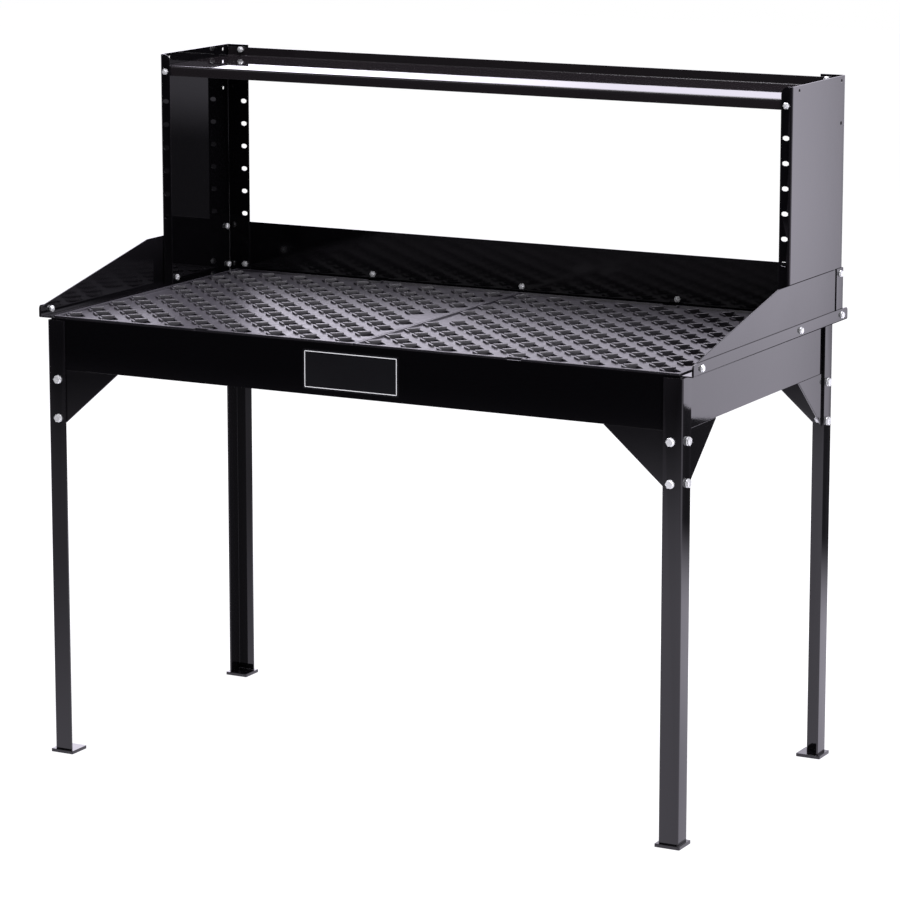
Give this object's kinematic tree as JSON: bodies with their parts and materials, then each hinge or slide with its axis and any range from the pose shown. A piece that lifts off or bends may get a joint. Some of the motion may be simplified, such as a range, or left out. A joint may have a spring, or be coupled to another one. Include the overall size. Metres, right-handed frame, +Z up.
{
  "type": "workbench",
  "caption": "Free-standing black steel workbench with a sump tray under lift-out drain gratings, sloping side guards, a back splash and a raised shelf on slotted uprights.",
  "frame": {"origin": "floor point under the middle of the bench's bounding box", "axes": "+X to the bench's right seen from the front, +Y towards its back splash, +Z up"},
  "size_m": [1.2644, 0.6566, 1.2121],
  "materials": {
    "black_steel": "glossy black powder coat",
    "grating_plastic": "moulded black plastic with a satin face",
    "zinc_fasteners": "bright zinc plate"
  },
  "bodies": {
    "bench": {"back_splash": "black_steel", "foot_plate_front_left": "black_steel", "foot_plate_front_right": "black_steel", "foot_plate_rear_left": "black_steel", "foot_plate_rear_right": "black_steel", "grating_rest_front": "black_steel", "grating_rest_rear": "black_steel", "guard_bolt_front_left": "zinc_fasteners", "guard_bolt_front_right": "zinc_fasteners", "guard_bolt_middle_left": "zinc_fasteners", "guard_bolt_middle_right": "zinc_fasteners", "gusset_front_left": "black_steel", "gusset_front_right": "black_steel", "gusset_rear_left": "black_steel", "gusset_rear_right": "black_steel", "gusset_side_front_left": "black_steel", "gusset_side_front_right": "black_steel", "gusset_side_rear_left": "black_steel", "gusset_side_rear_right": "black_steel", "leg_bolt_front_left_face_lower": "zinc_fasteners", "leg_bolt_front_left_face_upper": "zinc_fasteners", "leg_bolt_front_left_side_lower": "zinc_fasteners", "leg_bolt_front_left_side_upper": "zinc_fasteners", "leg_bolt_front_right_face_lower": "zinc_fasteners", "leg_bolt_front_right_face_upper": "zinc_fasteners", "leg_bolt_front_right_side_lower": "zinc_fasteners", "leg_bolt_front_right_side_upper": "zinc_fasteners", "leg_bolt_rear_left_face_lower": "zinc_fasteners", "leg_bolt_rear_left_face_upper": "zinc_fasteners", "leg_bolt_rear_left_side_lower": "zinc_fasteners", "leg_bolt_rear_left_side_upper": "zinc_fasteners", "leg_bolt_rear_right_face_lower": "zinc_fasteners", "leg_bolt_rear_right_face_upper": "zinc_fasteners", "leg_bolt_rear_right_side_lower": "zinc_fasteners", "leg_bolt_rear_right_side_upper": "zinc_fasteners", "leg_front_left": "black_steel", "leg_front_right": "black_steel", "leg_rear_left": "black_steel", "leg_rear_right": "black_steel", "rim_bolt_rear_left": "zinc_fasteners", "rim_bolt_rear_right": "zinc_fasteners", "shelf_bolt_front_left": "zinc_fasteners", "shelf_bolt_front_right": "zinc_fasteners", "shelf_bolt_rear_left": "zinc_fasteners", "shelf_bolt_rear_right": "zinc_fasteners", "side_guard_left": "black_steel", "side_guard_right": "black_steel", "splash_bolt_1": "zinc_fasteners", "splash_bolt_2": "zinc_fasteners", "splash_bolt_3": "zinc_fasteners", "splash_bolt_4": "zinc_fasteners", "splash_bolt_5": "zinc_fasteners", "splash_flange_bolt_left": "zinc_fasteners", "splash_flange_bolt_right": "zinc_fasteners", "sump_tray": "black_steel", "top_shelf": "black_steel", "upright_left": "black_steel", "upright_right": "black_steel"},
    "left_grating": {"drain_grating_left": "grating_plastic"},
    "right_grating": {"drain_grating_right": "grating_plastic"}
  },
  "joints": [
    {"name": "lift_left_grating", "type": "slide", "parent": "bench", "child": "left_grating", "axis": [0, 0, 1], "range_m": [0, 0.3]},
    {"name": "lift_right_grating", "type": "slide", "parent": "bench", "child": "right_grating", "axis": [0, 0, 1], "range_m": [0, 0.3]}
  ]
}
